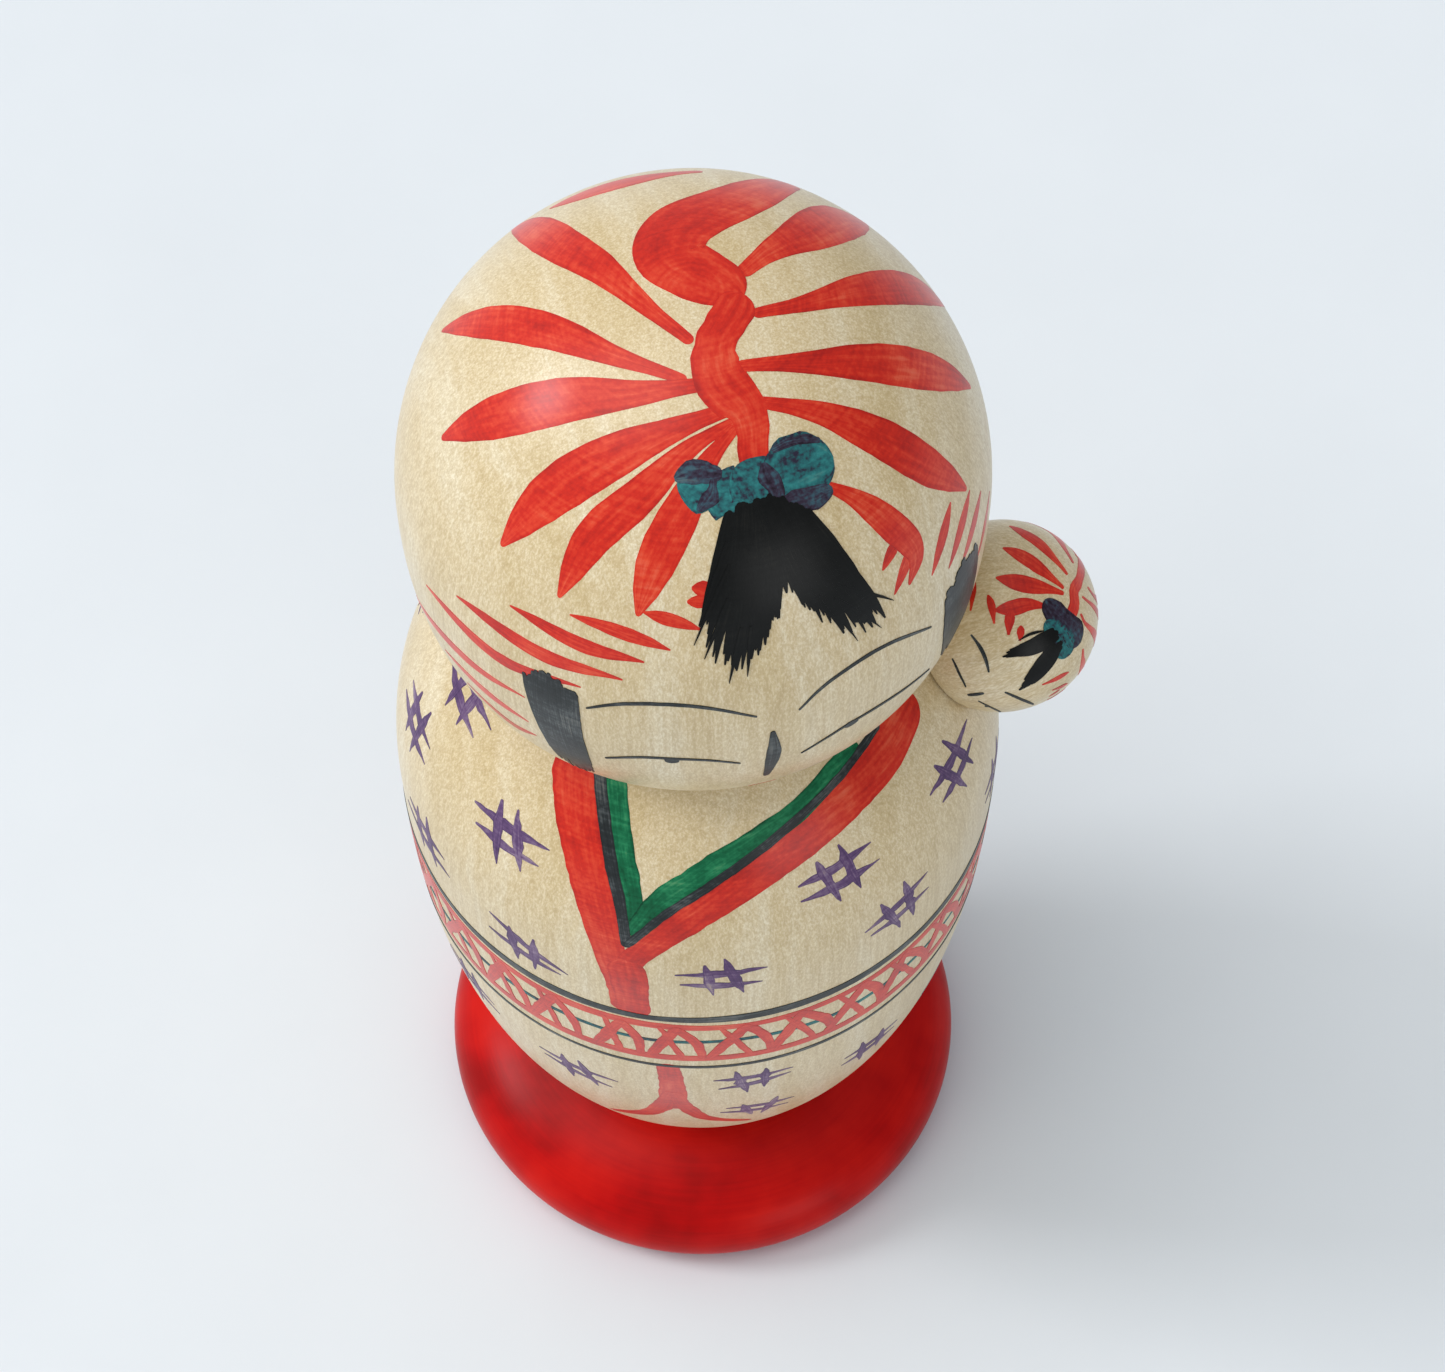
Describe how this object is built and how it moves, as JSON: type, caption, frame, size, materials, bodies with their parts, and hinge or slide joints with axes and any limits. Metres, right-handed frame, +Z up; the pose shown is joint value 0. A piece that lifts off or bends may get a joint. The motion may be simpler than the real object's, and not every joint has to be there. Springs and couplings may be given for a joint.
{
  "type": "kokeshi doll",
  "caption": "Turned wooden kokeshi doll with a round head, an egg-shaped body on a domed red foot, and a small second head on its shoulder; both heads turn.",
  "frame": {"origin": "centre of the foot's flat underside, on the surface that the doll stands on", "axes": "+Z up along the doll's turning axis, -Y towards the front of the painted kimono, +X towards the doll's left shoulder"},
  "size_m": [0.069, 0.0612, 0.1513],
  "materials": {
    "waxed_wood": "pale fine-pored wood, turned smooth, painted with dye and burnished with wax to a satin",
    "red_dyed_wood": "the same wood dyed deep red on the lathe and waxed to a soft gloss",
    "peg_wood": "plain dowel, unfinished"
  },
  "bodies": {
    "figure": {"base": "red_dyed_wood", "base_peg": "peg_wood", "body": "waxed_wood", "neck_peg": "peg_wood", "baby_peg": "peg_wood"},
    "mother_head": {"mother_head": "waxed_wood"},
    "baby_head": {"baby_head": "waxed_wood"}
  },
  "joints": [
    {"name": "mother_head_turn", "type": "hinge", "parent": "figure", "child": "mother_head", "pos_m": [0, 0, 0.1011], "axis": [0, 0, 1], "continuous": true},
    {"name": "baby_head_turn", "type": "hinge", "parent": "figure", "child": "baby_head", "pos_m": [0.02421, 0.00427, 0.09476], "axis": [0.8067, 0.1422, 0.5736], "continuous": true}
  ]
}
